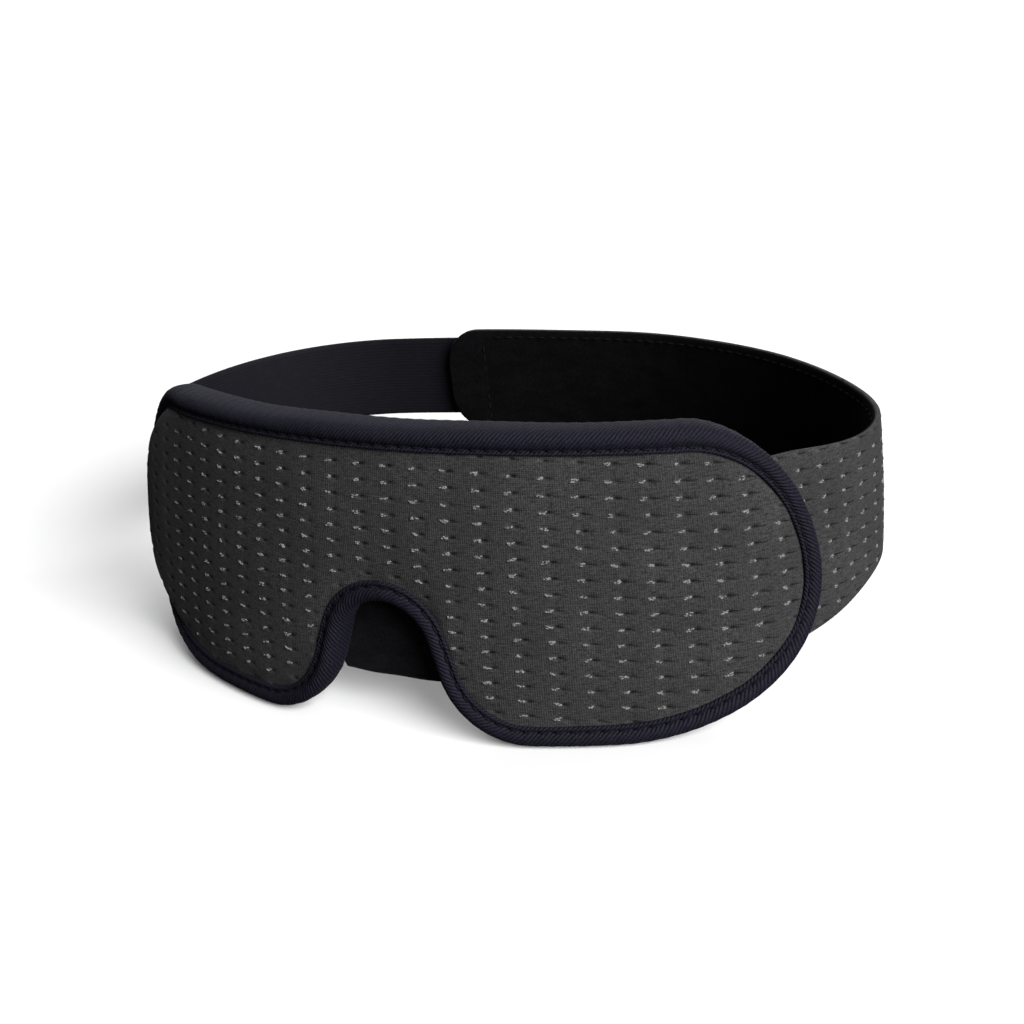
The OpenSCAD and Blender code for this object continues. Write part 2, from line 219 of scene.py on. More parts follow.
# ---- Mesh helpers ----
def new_mesh(name, points, faces, material, uv=None, smooth=True):
    """Mesh object from points in metres and faces; uv is one pair per point, in millimetres."""
    mesh = bpy.data.meshes.new(name)
    mesh.from_pydata(np.asarray(points, float).reshape(-1, 3).tolist(), [], faces)
    shape = bmesh.new()
    shape.from_mesh(mesh)
    if len(faces) > 1:
        bmesh.ops.recalc_face_normals(shape, faces=shape.faces)
    shape.to_mesh(mesh)
    shape.free()
    if smooth:
        mesh.shade_smooth()
    if uv is not None:
        layer = mesh.uv_layers.new(name="mm")
        loops = np.empty(len(mesh.loops), np.int32)
        mesh.loops.foreach_get("vertex_index", loops)
        layer.data.foreach_set("uv", np.asarray(uv, np.float32).reshape(-1, 2)[loops].ravel())
    mesh.materials.append(material)
    obj = bpy.data.objects.new(name, mesh)
    bpy.context.scene.collection.objects.link(obj)
    return obj


def grid_faces(rows, cols, wrap_rows=False, wrap_cols=False, start=0):
    """Quads between points numbered row by row."""
    i = np.arange(rows if wrap_rows else rows - 1)
    j = np.arange(cols if wrap_cols else cols - 1)
    i, j = [k.ravel() for k in np.meshgrid(i, j, indexing="ij")]
    i2, j2 = (i + 1) % rows, (j + 1) % cols
    return (np.stack([i*cols + j, i2*cols + j, i2*cols + j2, i*cols + j2], 1) + start).tolist()


def swept(name, rings, material, uv=None, closed=False):
    """Tube of rings (n, m, 3); open ends get caps."""
    n, m = rings.shape[:2]
    faces = grid_faces(n, m, wrap_rows=closed, wrap_cols=True)
    if not closed:
        faces += [list(range(m)), list(range((n - 1)*m, n*m))]
    return new_mesh(name, rings, faces, material, uv)


def slab(name, front, back, material, uv_front, uv_back):
    """Closed solid between two grids with the same number of columns: (columns, rows, 3)."""
    n, rf = front.shape[:2]
    rb = back.shape[1]
    start = n*rf
    faces = grid_faces(n, rf)
    faces += grid_faces(n, rb, start=start)
    for i in range(n - 1):
        low, low_b = i*rf, start + i*rb
        high, high_b = low + rf - 1, low_b + rb - 1
        faces.append([low, low_b, low_b + rb, low + rf])
        faces.append([high, high + rf, high_b + rb, high_b])
    first = list(range(rf)) + [start + k for k in range(rb)][::-1]
    last_f, last_b = (n - 1)*rf, start + (n - 1)*rb
    last = [last_f + k for k in range(rf)][::-1] + [last_b + k for k in range(rb)]
    faces += [first, last]
    points = np.concatenate([front.reshape(-1, 3), back.reshape(-1, 3)])
    uv = np.concatenate([uv_front.reshape(-1, 2), uv_back.reshape(-1, 2)])
    return new_mesh(name, points, faces, material, uv)


def tube_points(mid, thick, out, side, sides):
    """Round rings about the middle of a thin tube, thick at each point, across the directions out and side."""
    a = np.linspace(0, 2*np.pi, sides, endpoint=False)[:, None]
    return (mid[:, None] + thick[:, None, None]*(
        out[..., None, :]*np.sin(a) + side[..., None, :]*np.cos(a))).reshape(-1, 3)


def tube_faces(rings, sides, start):
    """Faces of a thin tube, both ends closed, whose points begin at start."""
    last = start + (rings - 1)*sides
    ends = [list(range(start, start + sides)), list(range(last, last + sides))[::-1]]
    return grid_faces(rings, sides, wrap_cols=True, start=start) + ends


def threads(name, spans, radius, material, sag=0.35, sides=8, rings=7):
    """Stitches: one arched thread for each (start, end, outward direction), all in metres."""
    points, faces, uv = [], [], []
    t = np.linspace(0, 1, rings)
    taper = np.sqrt(np.clip(1 - (2*t - 1)**4, 0.05, 1))
    for p, q, out in spans:
        p, q, out = (np.asarray(k, float) for k in (p, q, out))
        axis = (q - p)/np.linalg.norm(q - p)
        out = out - axis*out.dot(axis)
        out /= np.linalg.norm(out)
        side = np.cross(axis, out)
        lift = radius*(1 - sag*2*(2*t - 1)**2)
        mid = p + (q - p)*t[:, None] + out*lift[:, None]
        faces += tube_faces(rings, sides, len(points)*rings*sides)
        points.append(tube_points(mid, radius*taper, out, side, sides))
        length = np.linalg.norm(q - p)/MM
        uv.append(np.stack(np.meshgrid(t*length, np.arange(sides)*0.4, indexing="ij"), -1).reshape(-1, 2))
    return new_mesh(name, np.concatenate(points), faces, material, np.concatenate(uv))


def outward(s, v, d):
    """Direction away from the head at a point of the loop."""
    out = place(s, v, np.asarray(d) - 1) - place(s, v, d)
    return out/np.linalg.norm(out, axis=-1, keepdims=True)


# ---- Materials ----
class Net:
    """A short way to write a material's nodes."""

    def __init__(self, name, rough, sheen=0.0, sheen_rough=0.5, sheen_tint=(1, 1, 1), specular=0.5):
        self.material = bpy.data.materials.new(name)
        self.material.use_nodes = True
        self.nodes = self.material.node_tree.nodes
        self.links = self.material.node_tree.links
        self.shader = self.nodes["Principled BSDF"]
        self.set("Roughness", rough)
        self.set("Sheen Weight", sheen)
        self.set("Sheen Roughness", sheen_rough)
        self.set("Sheen Tint", (*sheen_tint, 1))
        self.set("Specular IOR Level", specular)

    def set(self, socket, value):
        self.shader.inputs[socket].default_value = value

    def node(self, kind, inputs=(), **settings):
        n = self.nodes.new(kind)
        for key, value in settings.items():
            setattr(n, key, value)
        for key, value in dict(inputs).items():
            if isinstance(value, bpy.types.NodeSocket):
                self.links.new(value, n.inputs[key])
            else:
                n.inputs[key].default_value = value
        return n

    def math(self, op, a, b=0.0, c=0.0, clamp=False):
        return self.node("ShaderNodeMath", {0: a, 1: b, 2: c}, operation=op, use_clamp=clamp).outputs[0]

    def times(self, a, b):
        return self.math("MULTIPLY", a, b)

    def plus(self, a, b):
        return self.math("ADD", a, b)

    def uv(self):
        """The piece's own flat coordinates, in millimetres, as a vector and its two parts."""
        vector = self.node("ShaderNodeUVMap", uv_map="mm").outputs[0]
        parts = self.node("ShaderNodeSeparateXYZ", {0: vector}).outputs
        return vector, parts[0], parts[1]

    def local(self):
        """Coordinates in the piece's own frame, in millimetres."""
        vector = self.node("ShaderNodeTexCoord").outputs["Object"]
        return self.node("ShaderNodeVectorMath", {0: vector, 3: 1/MM}, operation="SCALE").outputs[0]

    def stretched(self, vector, factors):
        return self.node("ShaderNodeVectorMath", {0: vector, 1: factors}, operation="MULTIPLY").outputs[0]

    def noise(self, vector, scale, detail=2.0, rough=0.5):
        return self.node(
            "ShaderNodeTexNoise", {"Vector": vector, "Scale": scale, "Detail": detail, "Roughness": rough}
        ).outputs["Fac"]

    def ramp(self, value, low, high, a=0.0, b=1.0):
        return self.node(
            "ShaderNodeMapRange", {0: value, 1: low, 2: high, 3: a, 4: b}, clamp=True
        ).outputs[0]

    def mix(self, factor, a, b):
        n = self.nodes.new("ShaderNodeMix")
        n.data_type = "RGBA"
        for socket, value in ((n.inputs[0], factor), (n.inputs[6], a), (n.inputs[7], b)):
            if isinstance(value, bpy.types.NodeSocket):
                self.links.new(value, socket)
            else:
                socket.default_value = (*value, 1) if isinstance(value, tuple) else value
        return n.outputs[2]

    def bump(self, height, distance, strength=1.0):
        inputs = {"Height": height, "Distance": distance, "Strength": strength}
        return self.node("ShaderNodeBump", inputs).outputs[0]

    def finish(self, color, normal=None):
        self.links.new(color, self.shader.inputs["Base Color"])
        if normal is not None:
            self.links.new(normal, self.shader.inputs["Normal"])
        return self.material


def sine(net, value, pitch):
    """Wave from -1 to 1 with the given pitch."""
    return net.math("SINE", net.times(value, 2*math.pi/pitch))


def rise_and_fall(net, value, pitch):
    """Wave from 0 to 1 with the given pitch."""
    return net.math("MULTIPLY_ADD", sine(net, value, pitch), 0.5, 0.5)


def knit_material():
    """Heathered knit mesh: fine wales, uneven yarn, and a hole beside each pale tuft, with painted shade in the
    holes and in the folds beside them.
    """
    net = Net("knit_mesh", rough=0.9, sheen=0.04, sheen_rough=0.5, specular=0.07)
    vector, s, v = net.uv()
    streak = net.noise(net.stretched(vector, (0.4, 1.9, 1)), 1.0, 3, 0.6)
    column = net.noise(net.stretched(vector, (1.9, 0.3, 1)), 1.0, 3, 0.6)
    grain = net.noise(net.stretched(vector, (1.7, 1.7, 1)), 1.0, 3, 0.75)
    patch = net.noise(vector, 0.05, 2)
    wale = sine(net, s, 0.62)
    course = sine(net, v, 0.5)
    yarn = net.plus(net.times(wale, 0.5), net.times(course, 0.35))
    # Each tuft's own cell: its number and the place inside it; the rows droop towards the right end
    past = net.math("MINIMUM", net.math("MAXIMUM", s, 0.0), SKEW_END)
    beyond = net.times(net.math("MAXIMUM", net.math("SUBTRACT", s, SKEW_END), 0.0), SKEW)
    droop = net.math("MULTIPLY_ADD", net.times(past, past), SKEW/(2*SKEW_END), beyond)
    col = net.math("DIVIDE", s, TUFT_PITCH_S)
    row = net.math("DIVIDE", net.plus(v, droop), TUFT_PITCH_V)
    ds = net.times(net.math("SUBTRACT", net.math("FRACT", col), 0.5), TUFT_PITCH_S)
    dv = net.times(net.math("SUBTRACT", net.math("FRACT", row), 0.5), TUFT_PITCH_V)
    cell = net.node("ShaderNodeCombineXYZ", {0: net.math("FLOOR", col), 1: net.math("FLOOR", row)}).outputs[0]
    chance = net.node("ShaderNodeTexWhiteNoise", {"Vector": cell}, noise_dimensions="3D").outputs["Value"]

    def spot(centre_s, half_s, half_v):
        a = net.math("DIVIDE", net.math("SUBTRACT", ds, centre_s), half_s)
        b = net.math("DIVIDE", dv, half_v)
        r = net.plus(net.times(a, a), net.times(b, b))
        return net.math("POWER", 2.718, net.times(r, -1.0))
    # Painted shade: each hole, stronger or weaker at random, is coloured near black where shade falls in it
    hole = net.times(spot(1.0, 0.95, 0.36), net.ramp(chance, 0, 1, 0.6, 1.4))
    # Painted shade in the fold beside each hole, stronger towards the right end, where the folds are deeper
    reach = net.ramp(s, 20, 85)
    fold_shade = net.times(spot(1.6, 2.7, 0.2), net.math("MULTIPLY_ADD", reach, 0.75, 0.15))
    loose = net.ramp(net.noise(net.stretched(vector, (3, 4, 1)), 1.0, 2), 0.46, 0.6)
    fleck = net.times(spot(-0.7, 1.3, 0.5), loose)
    base = net.mix(net.ramp(streak, 0.36, 0.64), (0.011, 0.011, 0.0113), (0.042, 0.042, 0.0428))
    base = net.mix(net.ramp(column, 0.4, 0.66, 0.0, 0.6), base, (0.045, 0.045, 0.0455))
    base = net.mix(net.ramp(grain, 0.5, 0.7), base, (0.062, 0.062, 0.063))
    base = net.mix(net.ramp(grain, 0.48, 0.3, 0.0, 0.6), base, (0.007, 0.007, 0.0073))
    base = net.mix(net.ramp(yarn, -0.8, 0.8, 0.4, 0.0), base, (0.01, 0.01, 0.011))
    base = net.mix(net.ramp(patch, 0.35, 0.65, 0.0, 0.3), base, (0.013, 0.013, 0.014))
    # Painted shade: holes and folds are coloured near black
    base = net.mix(net.math("MAXIMUM", hole, fold_shade, clamp=True), base, (0.0015, 0.0015, 0.0016))
    base = net.mix(net.times(fleck, 0.5), base, (0.12, 0.12, 0.12))
    height = net.plus(net.times(yarn, 0.5), grain)
    height = net.math("SUBTRACT", height, net.times(hole, 2.0))
    return net.finish(base, net.bump(height, 0.14*MM, 0.9))


def twill_material():
    """Binding tape: diagonal ribs in a blue-black yarn."""
    net = Net(
        "twill_binding", rough=0.7, sheen=0.02, sheen_rough=0.4, sheen_tint=(0.75, 0.75, 1.0), specular=0.08)
    vector, s, v = net.uv()
    wobble = net.times(net.noise(vector, 0.35, 2), 0.9)
    across = net.plus(net.plus(s, net.times(v, 0.9)), wobble)
    rib = rise_and_fall(net, across, 1.25)
    yarn = net.noise(net.stretched(vector, (1.6, 1.6, 1)), 1.0, 3, 0.7)
    cross = rise_and_fall(net, s, 0.55)
    base = net.mix(rib, (0.0022, 0.002, 0.0042), (0.0095, 0.009, 0.0165))
    base = net.mix(net.ramp(yarn, 0.45, 0.75, 0.0, 0.6), base, (0.02, 0.019, 0.03))
    base = net.mix(net.times(cross, 0.25), base, (0.0025, 0.0025, 0.005))
    height = net.plus(rib, net.times(yarn, 0.5))
    return net.finish(base, net.bump(height, 0.22*MM, 0.9))


def thread_material():
    """Twisted sewing thread."""
    net = Net("thread", rough=0.6, specular=0.06)
    _, s, v = net.uv()
    twist = rise_and_fall(net, net.plus(s, v), 0.8)
    base = net.mix(twist, (0.002, 0.002, 0.0035), (0.0085, 0.008, 0.013))
    return net.finish(base, net.bump(twist, 0.08*MM))


def elastic_material():
    """Narrow woven elastic: fine lengthwise ribs crossed by the weft."""
    net = Net("elastic_webbing", rough=0.6, sheen=0.01, sheen_tint=(0.8, 0.8, 1.0), specular=0.05)
    vector, s, v = net.uv()
    rib = rise_and_fall(net, v, 1.15)
    bowed = net.plus(s, net.times(rib, 0.3))
    weft = rise_and_fall(net, bowed, 0.6)
    dust = net.noise(net.stretched(vector, (0.3, 2.0, 1)), 1.0, 3)
    base = net.mix(rib, (0.003, 0.003, 0.0042), (0.0065, 0.0065, 0.0095))
    base = net.mix(net.times(weft, 0.4), base, (0.009, 0.009, 0.0125))
    base = net.mix(net.ramp(dust, 0.5, 0.8, 0.0, 0.4), base, (0.012, 0.012, 0.016))
    height = net.plus(net.times(rib, 0.7), net.times(weft, 0.35))
    return net.finish(base, net.bump(height, 0.12*MM, 0.8))


def pile_material(name, dark, light, scale, sheen):
    """Soft brushed surface, such as the loop lining of the wide strap and the linings next to the face."""
    net = Net(name, rough=0.95, sheen=sheen, sheen_rough=0.4, specular=0.03)
    vector = net.local()
    pile = net.noise(vector, scale, 4, 0.7)
    brushed = net.noise(net.stretched(vector, (0.12, 0.12, 0.3)), 1.0, 3)
    base = net.mix(net.ramp(pile, 0.3, 0.75), dark, light)
    base = net.mix(net.ramp(brushed, 0.35, 0.7, 0.0, 0.5), base, tuple(0.6*k for k in dark))
    height = net.plus(net.times(pile, 0.7), net.times(brushed, 0.4))
    return net.finish(base, net.bump(height, 0.25*MM, 0.8))


def hook_material():
    """Hook tape: woven ground with stiff nylon hooks."""
    net = Net("hook_tape", rough=0.45, specular=0.2)
    vector = net.local()
    ground = net.noise(vector, 1.6, 3)
    base = net.mix(net.ramp(ground, 0.3, 0.7), (0.006, 0.006, 0.007), (0.016, 0.016, 0.018))
    return net.finish(base, net.bump(ground, 0.1*MM))


def tuft_material():
    """Pale slubs of yarn pulled up beside each hole of the knit."""
    net = Net("tuft_yarn", rough=0.85, sheen=0.05, specular=0.1)
    vector = net.local()
    fibre = net.noise(vector, 3.0, 2)
    base = net.mix(net.ramp(fibre, 0.35, 0.65), (0.05, 0.05, 0.05), (0.21, 0.21, 0.21))
    return net.finish(base, net.bump(fibre, 0.05*MM))


def floor_material():
    """Pale matt floor with the faintest mottle."""
    net = Net("pale_floor", rough=0.6, specular=0.3)
    base = net.mix(net.noise(net.local(), 0.004, 1), (0.83, 0.83, 0.832), (0.85, 0.85, 0.852))
    return net.finish(base)


knit, twill, thread = knit_material(), twill_material(), thread_material()
elastic, hooks, tuft_yarn = elastic_material(), hook_material(), tuft_material()
lining_cloth = pile_material("lining_fabric", (0.004, 0.004, 0.005), (0.012, 0.012, 0.014), 1.4, 0.05)
loop_cloth = pile_material("loop_fabric", (0.0016, 0.0016, 0.0019), (0.005, 0.005, 0.0056), 1.1, 0.015)


# ---- Tufts of the knit, shared by the panel and the wide strap ----
def row_droop(s):
    """How far a row of tufts has sunk at s, because the cloth is cut a little off its grain."""
    past = np.clip(s, 0, SKEW_END)
    return SKEW*past**2/(2*SKEW_END) + SKEW*np.clip(s - SKEW_END, 0, None)


def tuft_offset(s, v):
    """Offset of a point from the middle of its tuft's cell."""
    v = v + row_droop(s)
    col, row = np.floor(s/TUFT_PITCH_S), np.floor(v/TUFT_PITCH_V)
    return s - (col + 0.5)*TUFT_PITCH_S, v - (row + 0.5)*TUFT_PITCH_V


def tuft_relief(s, v):
    """How far the knit sinks (+) or swells (-) around its tufts."""
    ds, dv = tuft_offset(s, v)
    hole = bell(np.hypot((ds - 1.2)/1.3, dv/0.6))
    swell = bell(np.hypot((ds + 0.8)/1.3, dv/0.7))
    fold = bell(np.hypot((ds - 1.6)/2.8, dv/0.5))*ease((s - 20)/65)
    rib = bell(ds/2.6)*0.5
    return 0.4*hole - 0.16*swell + 0.1*rib + 0.2*fold


def tuft_slubs(name, inside, surface, s_range, v_range):
    """Small raised loops of yarn on the left of every tuft that lies inside the piece."""
    points, faces = [], []
    rings, sides = 5, 5
    t = np.linspace(0, 1, rings)
    for col in range(math.floor(s_range[0]/TUFT_PITCH_S), math.ceil(s_range[1]/TUFT_PITCH_S)):
        for row in range(math.floor(v_range[0]/TUFT_PITCH_V), math.ceil(v_range[1]/TUFT_PITCH_V)):
            s0 = (col + 0.5)*TUFT_PITCH_S
            v0 = (row + 0.5)*TUFT_PITCH_V - row_droop(s0)
            slubs = rng.integers(4, 7)
            draws = rng.random((6, 6))
            if not inside(s0, v0):
                continue
            worn = 0.55 + 0.45*ease((s0 + 95)/50)
            for k in range(slubs):
                r = draws[k]
                mid_s, mid_v = s0 - 0.8 + 1.8*(r[0] - 0.5), v0 + 0.7*(r[1] - 0.5)
                length, tilt = 0.6 + 0.8*r[2], math.radians(-22 + 44*r[3])
                radius, lift = (0.2 + 0.1*r[4])*worn, 0.05 + 0.14*r[5]
                ss = mid_s + (t - 0.5)*length*math.cos(tilt)
                vv = mid_v + (t - 0.5)*length*math.sin(tilt)
                base = surface(ss, vv)
                out = outward(ss, vv, 0)
                axis = base[-1] - base[0]
                axis /= np.linalg.norm(axis)
                side = np.cross(axis, out)
                arch = (lift*(1 - (2*t - 1)**2) - 0.04)*MM
                mid = base + out*arch[:, None]
                thick = radius*MM*np.array([0.4, 0.9, 1.0, 0.9, 0.4])
                faces += tube_faces(rings, sides, len(points)*rings*sides)
                points.append(tube_points(mid, thick, out, side, sides))
    return new_mesh(name, np.concatenate(points), faces, tuft_yarn)


# ---- Panel ----
PANEL_STEP = 0.56
CLOTH_E = 2.6  # the cloths end this far inside the panel's edge, under the binding
PANEL_PRESSURE, PAD_PRESSURE = 200.0, 600.0
SWELL_CAP = 2.2*MM
SWELL_FRAMES = 20
PUFF_EDGE = BINDING_W - 1.2
PUFF_END = PANEL_HALF - BINDING_W - 0.8
TUFTS_FROM = -90.0  # beyond this the holes have no slub beside them


def panel_columns(e, step, rows):
    """Grid of s and v over the panel, inset by e."""
    end = PANEL_HALF - e - 0.05
    s = np.linspace(-end, end, int(2*end/step) | 1)
    low, high = span(s, e)
    t = np.linspace(0, 1, rows)
    return np.repeat(s[:, None], rows, 1), low[:, None] + (high - low)[:, None]*t[None, :]


def smooth_noise(s, v, size, seed):
    """Gentle unevenness from -1 to 1, the same on every run."""
    draw = np.random.default_rng(seed)
    out = np.zeros(np.broadcast(s, v).shape)
    for _ in range(6):
        angle, phase, k = draw.random()*np.pi, draw.random()*2*np.pi, (0.6 + 0.8*draw.random())*2*np.pi/size
        out += np.sin(k*(s*np.cos(angle) + v*np.sin(angle)) + phase)
    return out/3


def point_array(mesh):
    out = np.empty(len(mesh.vertices)*3)
    mesh.vertices.foreach_get("co", out)
    return out.reshape(-1, 3)


def evaluated(obj):
    return obj.evaluated_get(bpy.context.evaluated_depsgraph_get())


def apply_modifiers(obj):
    bpy.context.view_layer.update()
    obj.data = bpy.data.meshes.new_from_object(evaluated(obj))
    obj.modifiers.clear()


def swell(obj, pressure, pinned):
    """Swell a closed mesh like a stuffed pad: cloth under pressure, with the pinned points held still."""
    start = point_array(obj.data)
    group = obj.vertex_groups.new(name="pin")
    group.add([int(i) for i in np.nonzero(pinned)[0]], 1.0, "REPLACE")
    cloth = obj.modifiers.new("Cloth", "CLOTH")
    cloth.settings.quality = 5
    cloth.settings.mass = 0.02
    cloth.settings.use_pressure = True
    cloth.settings.uniform_pressure_force = pressure
    cloth.settings.effector_weights.gravity = 0
    cloth.settings.vertex_group_mass = "pin"
    cloth.settings.tension_stiffness = 10
    cloth.settings.compression_stiffness = 10
    cloth.settings.bending_stiffness = 0.5
    cloth.point_cache.frame_start, cloth.point_cache.frame_end = 1, SWELL_FRAMES
    scene = bpy.context.scene
    for f in range(1, SWELL_FRAMES + 1):
        scene.frame_set(f)
    move = point_array(evaluated(obj).data) - start
    obj.modifiers.remove(cloth)
    scene.frame_set(1)
    length = np.linalg.norm(move, axis=1, keepdims=True)
    move *= SWELL_CAP*(1 - np.exp(-length/SWELL_CAP))/np.maximum(length, 1e-9)
    return start, move


def panel_puff():
    """Swelling of the padded panel in millimetres, on a grid over it, from a cloth run on its flat pattern."""
    cols, rows = 97, 35
    x, y = np.meshgrid(np.linspace(-1, 1, cols), np.linspace(0, 1, rows), indexing="ij")
    s = x*PUFF_END
    low, high = span(s[:, 0], PUFF_EDGE)
    v = low[:, None] + (high - low)[:, None]*y
    front = np.stack([s, 0*s, v], -1)*MM
    back = front + [0, (FACE_T + FOAM_T)*MM, 0]
    flat = np.stack([s, v], -1)
    core = slab("panel_swelling", front, back, knit, flat, flat)
    pinned = np.concatenate([((np.abs(x) > 0.999) | (y < 0.001) | (y > 0.999)).ravel(), np.full(x.size, True)])
    _, move = swell(core, PANEL_PRESSURE, pinned)
    bpy.data.objects.remove(core)
    out = -move[:x.size, 1].reshape(cols, rows)/MM
    for _ in range(2):
        beside = out[2:, 1:-1] + out[:-2, 1:-1] + out[1:-1, 2:] + out[1:-1, :-2]
        out[1:-1, 1:-1] = (4*out[1:-1, 1:-1] + beside)/8
    return out


def tuck(s):
    """How far the edge is rolled under by the sharp bend near the panel's left end, from 0 to 1."""
    return ease((-np.asarray(s) - 78)/34)


def panel_depth(s, v, e):
    """Depth of the knit's outer surface: padded, and drawn down along the binding's seam."""
    x = np.clip((s/PUFF_END + 1)/2, 0, 1)*(PUFF.shape[0] - 1)
    low, high = span(s, PUFF_EDGE)
    y = np.clip((v - low)/np.maximum(high - low, 0.1), 0, 1)*(PUFF.shape[1] - 1)
    i, j = np.minimum(x.astype(int), PUFF.shape[0] - 2), np.minimum(y.astype(int), PUFF.shape[1] - 2)
    fx, fy = x - i, y - j
    puff = (PUFF[i, j]*(1 - fx)*(1 - fy) + PUFF[i + 1, j]*fx*(1 - fy)
            + PUFF[i, j + 1]*(1 - fx)*fy + PUFF[i + 1, j + 1]*fx*fy)
    nose = 0.5*bell(np.hypot(s/16, (v - 58)/24))
    drawn = 0.25*bell((e - BINDING_W)/1.6)*smooth_noise(s, v, 14, 3)
    under = 2.4*tuck(s)*(1 - ease((e - 4.5)/2.5))
    proud = 2.2*tuck(s)*ease((e - 5.0)/4.0)
    return 0.1 - puff + nose + drawn + under - proud + 0.18*smooth_noise(s, v, 46, 5)*ease((e - BINDING_W)/6)


def build_panel():
    s, v = panel_columns(CLOTH_E, PANEL_STEP, 156)
    e = edge_distance(s, v)
    d = panel_depth(s, v, e) + tuft_relief(s, v)*ease((e - BINDING_W)/2.5)
    front = place(s, v, d)
    sb, vb = panel_columns(CLOTH_E, PANEL_STEP, 8)
    back = place(sb, vb, FACE_T + FOAM_T - 0.1)
    face = slab("panel_face", front, back, knit, np.stack([s, v], -1), np.stack([sb, vb], -1))
    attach(face, "mask")
    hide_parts("face_fabric", "foam_core")

    def inside(s0, v0):
        low, high = span(np.array([s0]), BINDING_W + 2.2)
        return TUFTS_FROM < s0 < PANEL_HALF - BINDING_W - 4 and low[0] < v0 < high[0]

    def surface(ss, vv):
        return place(ss, vv, panel_depth(ss, vv, edge_distance(ss, vv)) + tuft_relief(ss, vv))
    tufts = tuft_slubs("panel_tufts", inside, surface, (-PANEL_HALF, PANEL_HALF), (0, PANEL_H + 16))
    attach(tufts, "mask")

    s, v = panel_columns(CLOTH_E, 1.2, 74)
    e = edge_distance(s, v)
    wrinkle = 0.22*smooth_noise(s, v, 30, 11) + 0.3*bell((e - 7)/2.5)*smooth_noise(s, v, 9, 12)
    head_side = STACK_T + 0.35*ease((e - 5)/8) + wrinkle
    sb, vb = panel_columns(CLOTH_E, 1.2, 6)
    lining = slab(
        "panel_lining", place(sb, vb, FACE_T + FOAM_T), place(s, v, head_side),
        lining_cloth, np.stack([sb, vb], -1), np.stack([s, v], -1))
    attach(lining, "mask")
    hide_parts("inner_lining")


# ---- Edge binding ----
ROLL = [  # half section as [inset, depth], from the inner edge on the face round to the back
    (6.25, -0.35), (6.15, -0.75), (5.9, -1.02), (5.55, -1.1), (5.25, -0.92), (5.02, -0.6), (4.85, -0.48),
    (4.66, -0.6), (4.4, -0.95), (4.0, -1.3), (3.4, -1.58), (2.7, -1.68), (2.0, -1.55), (1.35, -1.18),
    (0.8, -0.62), (0.35, 0.1), (0.06, 1.05), (-0.1, 2.2), (-0.15, 3.6), (-0.12, 5.0), (0.02, 6.3),
    (0.3, 7.4), (0.8, 8.3), (1.5, 8.95), (2.4, 9.25), (3.3, 9.2), (4.1, 9.02), (4.7, 8.75), (4.95, 8.62),
    (5.2, 8.78), (5.6, 8.95), (6.0, 8.85), (6.2, 8.5), (6.2, 8.15), (4.2, 7.95), (2.2, 7.6), (1.5, 6.4),
    (1.45, 4.5), (1.5, 2.2), (2.0, 0.9), (3.4, 0.35), (5.2, 0.25), (6.2, 0.15)]
STITCH_PITCH = 4.2
GROOVE_E = 4.85


def build_binding():
    mid = outline(3.0)
    stations, at, total = even_stations(mid, 0.8)
    count = round(total/STITCH_PITCH)
    beat = 2*np.pi*count*at/total
    puff = 0.5 - 0.5*np.cos(beat)
    section = np.array(ROLL)
    crosswise = np.concatenate([[0], np.cumsum(np.linalg.norm(np.diff(section, axis=0), axis=1))])
    rings = np.empty((len(at), len(section), 3))
    uv = np.empty((len(at), len(section), 2))
    wobble = smooth_noise(at, 0*at, 23, 21)
    for k, (e, d) in enumerate(ROLL):
        path = along(outline(e), stations)
        groove = bell((e - GROOVE_E)/0.5)*(1 if d < 3 else 0.6)
        roll = bell((e - 2.7)/1.6)
        sign = -1 if d < 3 else 1
        depth = d + sign*(0.14*roll*(puff - 0.5) + 0.12*roll*wobble - 0.22*groove*(1 - puff))
        inward = 0.12*bell(e/1.2)*(puff - 0.5) + 0.15*bell(e/2.0)*smooth_noise(at, 0*at, 31, 22)
        shifted = along(outline(e + 1.0), stations)
        path = path + (shifted - path)*inward[:, None]
        depth = depth + 2.2*tuck(path[:, 0])*(1 - ease((d + 1.7)/7))
        rings[:, k] = place(path[:, 0], path[:, 1], depth)
        uv[:, k, 0] = at
        uv[:, k, 1] = crosswise[k]
    roll = swept("edge_binding_roll", rings, twill, uv, closed=True)
    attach(roll, "mask")
    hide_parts("edge_binding")

    spans = []
    path = outline(GROOVE_E)
    for side_d, away in ((-0.6, -1), (8.7, 1)):
        for i in range(count):
            t0, t1 = (i + 0.16)*total/count, (i + 0.84)*total/count
            k = np.interp([t0, t1], np.append(at, total), np.append(stations, len(mid)))
            ends = along(path, k)
            p = place(ends[:, 0], ends[:, 1], side_d + (2.0*tuck(ends[:, 0]) if away < 0 else 0))
            out = outward(ends[0, 0], ends[0, 1], side_d)*(1 if away < 0 else -1)
            spans.append((*p, out))
    stitches = threads("binding_stitches", spans, 0.3*MM, thread)
    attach(stitches, "mask")
    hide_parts("binding_stitching")


